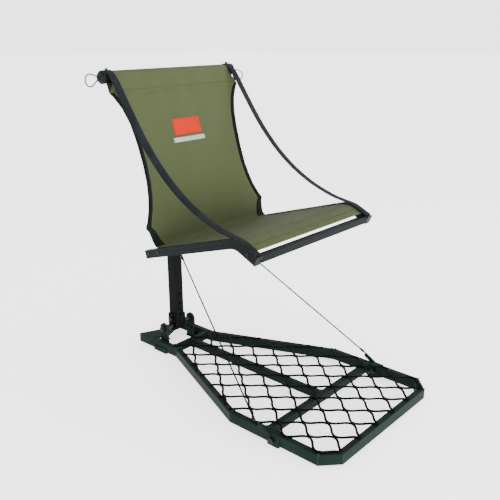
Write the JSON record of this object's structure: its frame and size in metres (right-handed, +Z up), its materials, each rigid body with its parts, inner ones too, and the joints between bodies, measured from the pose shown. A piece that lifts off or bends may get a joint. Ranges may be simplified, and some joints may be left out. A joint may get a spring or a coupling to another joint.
{
  "type": "hang-on tree stand",
  "caption": "Steel tree stand: mesh platform hinged to a mast, fold-up sling seat with reclined fabric back, arm straps and support cables",
  "frame": {"origin": "on the ground under the middle of the platform, level with the underside of its shoes and clamps", "axes": "+Z up, +Y towards the tree, +X to the right of someone in front who faces the tree"},
  "size_m": [0.6261, 0.944, 0.9497],
  "materials": {
    "powder_coat": "satin",
    "mesh_coat": "satin",
    "seat_frame": "satin",
    "hardware": "satin",
    "bare_cable": "satin",
    "cable_jacket": "satin",
    "moulded_cap": "matte",
    "webbing": "matte",
    "sling_fabric": "matte"
  },
  "bodies": {
    "platform": {"cable_clamp_left": "powder_coat", "cable_clamp_right": "powder_coat", "cable_tabs": "powder_coat", "clamp_bolts": "hardware", "clamp_nuts": "hardware", "corner_tube_left": "powder_coat", "corner_tube_right": "powder_coat", "cross_tube": "powder_coat", "deck_mesh": "mesh_coat", "flare_tube_left": "powder_coat", "flare_tube_right": "powder_coat", "front_tube": "powder_coat", "hinge_ear_left": "powder_coat", "hinge_ear_right": "powder_coat", "lower_ferrules": "hardware", "pivot_bolt": "hardware", "pivot_nut": "hardware", "rear_cross_bar": "powder_coat", "rear_rail_left": "powder_coat", "rear_rail_right": "powder_coat", "side_tube_left": "powder_coat", "side_tube_right": "powder_coat", "spine_tube": "powder_coat", "vee_bar_left": "powder_coat", "vee_bar_right": "powder_coat", "vee_plate": "powder_coat"},
    "mast": {"bar_caps": "moulded_cap", "cable_left": "cable_jacket", "cable_lugs": "powder_coat", "cable_right": "cable_jacket", "hinge_bar": "powder_coat", "lock_pin": "hardware", "mast_bolts": "hardware", "mast_cheeks": "powder_coat", "mast_nuts": "hardware", "mast_tube": "powder_coat", "pivot_bushes": "hardware", "seat_bracket_left": "powder_coat", "seat_bracket_right": "powder_coat", "seat_stops": "powder_coat", "sling_back": "sling_fabric", "sling_sleeve": "sling_fabric", "strap_left": "webbing", "strap_lugs": "powder_coat", "strap_right": "webbing", "strap_screws": "hardware", "top_bar": "powder_coat", "top_saddle": "powder_coat", "upper_ferrules": "hardware", "upper_vee": "powder_coat", "wire_loop_left": "bare_cable", "wire_loop_right": "bare_cable"},
    "seat": {"front_bar": "seat_frame", "hinge_lugs": "powder_coat", "rail_caps": "moulded_cap", "rail_rivets": "hardware", "rear_bar": "seat_frame", "seat_rail_left": "seat_frame", "seat_rail_right": "seat_frame", "sling_seat": "sling_fabric"}
  },
  "joints": [
    {"name": "mast_fold", "type": "hinge", "parent": "platform", "child": "mast", "pos_m": [0, 0.372, 0.073], "axis": [1, 0, 0], "range_deg": [0, 35], "deforming": ["cable_left", "cable_right"]},
    {"name": "seat_fold", "type": "hinge", "parent": "mast", "child": "seat", "pos_m": [0, 0.23, 0.41], "axis": [-1, 0, 0], "range_deg": [0, 70], "deforming": ["strap_left", "strap_right", "sling_back"]}
  ]
}
